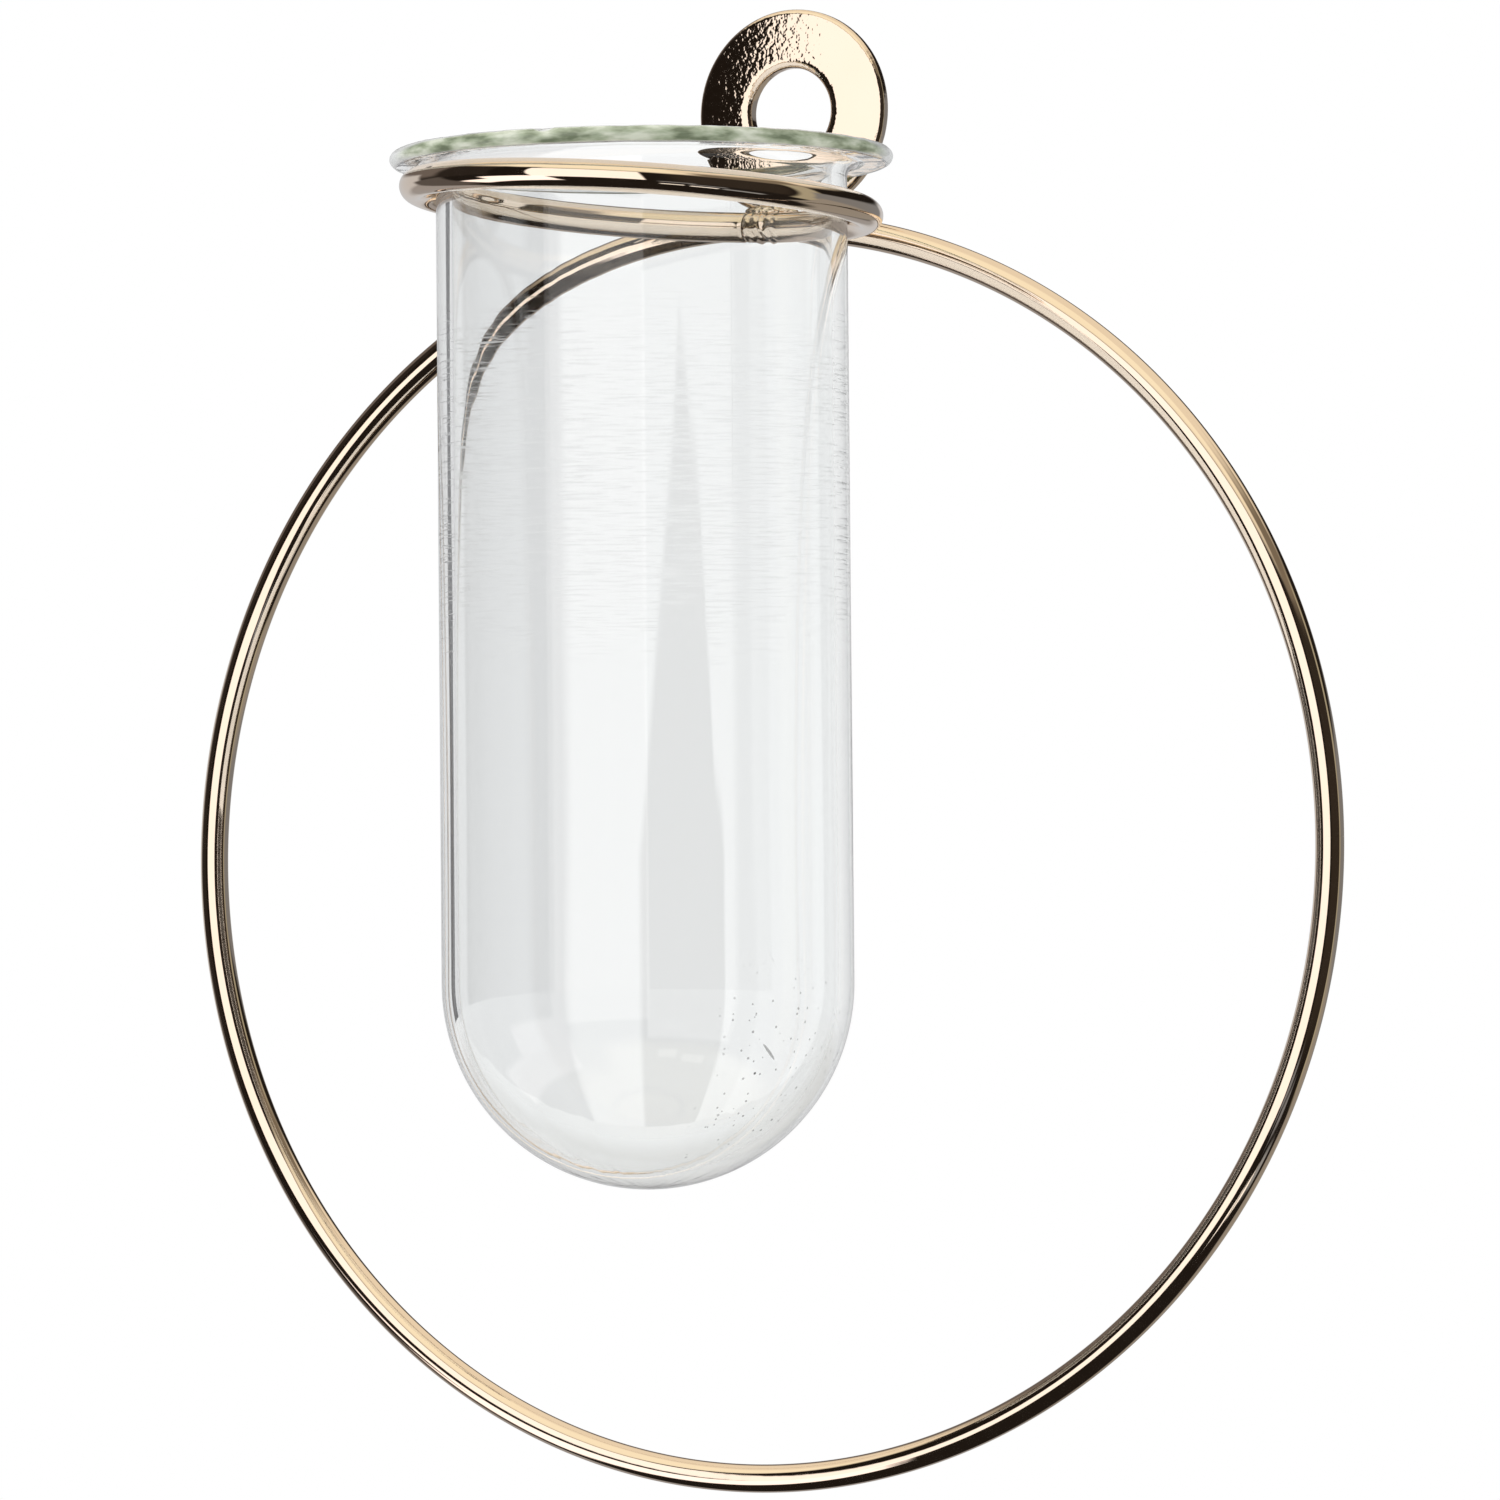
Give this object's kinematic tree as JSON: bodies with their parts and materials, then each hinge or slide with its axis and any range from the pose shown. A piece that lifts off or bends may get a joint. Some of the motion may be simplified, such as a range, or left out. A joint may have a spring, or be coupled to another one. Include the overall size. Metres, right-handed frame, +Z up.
{
  "type": "hanging wall vase",
  "caption": "Wall vase: a wire hoop with a washer to hang it by and a wire ring in front that holds a round-bottomed glass tube by its flared lip; the glass lifts out.",
  "frame": {"origin": "centre of the hanging hole, halfway through the washer", "axes": "+Z up, +Y towards the wall, the front looks along -Y, +X to the right as seen from the front"},
  "size_m": [0.127, 0.0509, 0.1471],
  "materials": {
    "plated_wire": "bright champagne gold plating",
    "plated_washer": "bright champagne gold plating over a pressed face",
    "plated_weld": "plated weld metal, a little uneven",
    "clear_glass": "clear and polished, pale green in the edge of the lip"
  },
  "bodies": {
    "frame": {"hoop": "plated_wire", "hanging_eyelet": "plated_washer", "holder_ring": "plated_wire", "eyelet_weld": "plated_weld", "ring_weld": "plated_weld"},
    "vase": {"glass_tube": "clear_glass"}
  },
  "joints": [
    {"name": "tube_lift", "type": "slide", "parent": "frame", "child": "vase", "axis": [0, 0, 1], "range_m": [0, 0.12]}
  ]
}
